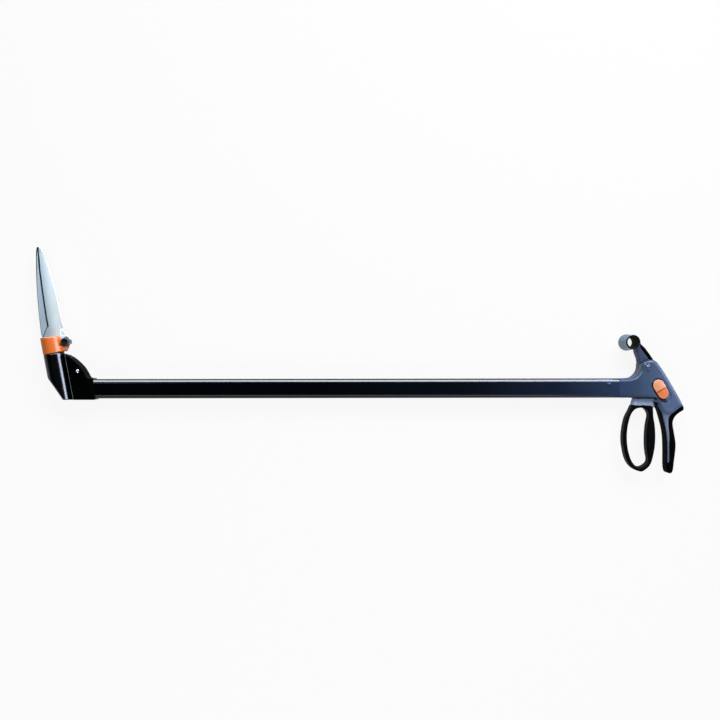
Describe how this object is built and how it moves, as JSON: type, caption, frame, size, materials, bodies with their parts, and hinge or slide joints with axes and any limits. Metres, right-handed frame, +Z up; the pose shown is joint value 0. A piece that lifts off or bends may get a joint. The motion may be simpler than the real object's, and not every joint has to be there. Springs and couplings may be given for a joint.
{
  "type": "long handled edging shears",
  "caption": "Long handled edging shears with a straight shaft, a loop lever beside a pistol-type grip, a hanging eye, a lock slider and a swivelling orange blade head.",
  "frame": {"origin": "on the flat lower side of the handle housing, on the shaft's centre line", "axes": "the tool lies on its side: +X along the shaft from the blades to the handle, +Y across towards the blade tips, +Z up, away from the lower side of the housing"},
  "size_m": [1.033, 0.363, 0.044],
  "materials": {
    "blade_steel": "satin ground steel",
    "steel": "bright",
    "zinc": "zinc plated",
    "orange": "satin",
    "dark_plastic": "satin black",
    "nylon": "natural",
    "tube": "dark navy, satin",
    "body": "slate blue, satin",
    "soft_black": "matt soft black"
  },
  "bodies": {
    "frame": {"shaft_tube": "tube", "shaft_screw_front": "zinc", "shaft_screw_rear": "zinc", "rod_guide_1": "nylon", "rod_guide_2": "nylon", "rod_guide_3": "nylon", "return_spring": "steel", "handle_front": "body", "handle_rear": "body", "grip_soft": "soft_black", "hanger_arm": "body", "hanger_eye": "dark_plastic", "hanger_pad": "soft_black", "lever_pin": "steel", "pin_cap_front": "body", "pin_cap_rear": "body", "housing_screw_1": "zinc", "housing_screw_2": "zinc", "housing_screw_3": "zinc", "housing_screw_4": "zinc", "bracket_front": "dark_plastic", "bracket_rear": "dark_plastic", "bracket_screw_1": "zinc", "bracket_screw_2": "zinc", "crank_screw": "steel", "head_barrel": "dark_plastic", "swivel_ring": "dark_plastic"},
    "lever": {"lever": "body", "lever_sleeve": "soft_black"},
    "pull_rod": {"pull_rod": "steel", "rod_clevis_head": "zinc", "rod_clevis_handle": "zinc", "clevis_pin_head": "steel", "clevis_pin_handle": "steel", "rod_collar": "zinc"},
    "bell_crank": {"bell_crank": "zinc"},
    "head": {"collar_front": "orange", "collar_rear": "orange", "collar_screw_1": "zinc", "collar_screw_2": "zinc", "blade_fixed": "blade_steel", "pivot_bolt": "zinc", "pivot_nut": "dark_plastic", "pivot_washer": "steel"},
    "plunger": {"plunger": "nylon", "link_pin": "steel"},
    "moving_blade": {"blade_moving": "blade_steel"},
    "lock": {"lock_slider": "orange", "lock_bolt": "zinc"}
  },
  "joints": [
    {"name": "lever_hinge", "type": "hinge", "parent": "frame", "child": "lever", "pos_m": [-0.003, 0.034, 0.02], "axis": [0, 0, -1], "range_deg": [0, 13]},
    {"name": "rod_slide", "type": "slide", "parent": "frame", "child": "pull_rod", "axis": [-1, 0, 0], "range_m": [0, 0.00775]},
    {"name": "crank_hinge", "type": "hinge", "parent": "frame", "child": "bell_crank", "pos_m": [-0.90362, 0.02823, 0.02], "axis": [0, 0, -1], "range_deg": [0, 15.63]},
    {"name": "head_swivel", "type": "hinge", "parent": "frame", "child": "head", "pos_m": [-0.94796, 0.06883, 0.02], "axis": [-0.1822, 0.9833, 0], "range_deg": [-90, 90]},
    {"name": "plunger_slide", "type": "slide", "parent": "head", "child": "plunger", "axis": [-0.1822, 0.9833, 0], "range_m": [0, 0.00994]},
    {"name": "blade_hinge", "type": "hinge", "parent": "head", "child": "moving_blade", "pos_m": [-0.92521, 0.07508, 0.02], "axis": [0, 0, -1], "range_deg": [0, 23.87]},
    {"name": "lock_slide", "type": "slide", "parent": "frame", "child": "lock", "axis": [0.5, -0.866, 0], "range_m": [0, 0.006]}
  ],
  "couplings": [
    {"joint": "rod_slide", "follows": "lever_hinge", "m_per_rad": 0.034147},
    {"joint": "crank_hinge", "follows": "lever_hinge", "ratio": 1.2021},
    {"joint": "plunger_slide", "follows": "lever_hinge", "m_per_rad": 0.043789},
    {"joint": "blade_hinge", "follows": "lever_hinge", "ratio": 1.8363}
  ]
}
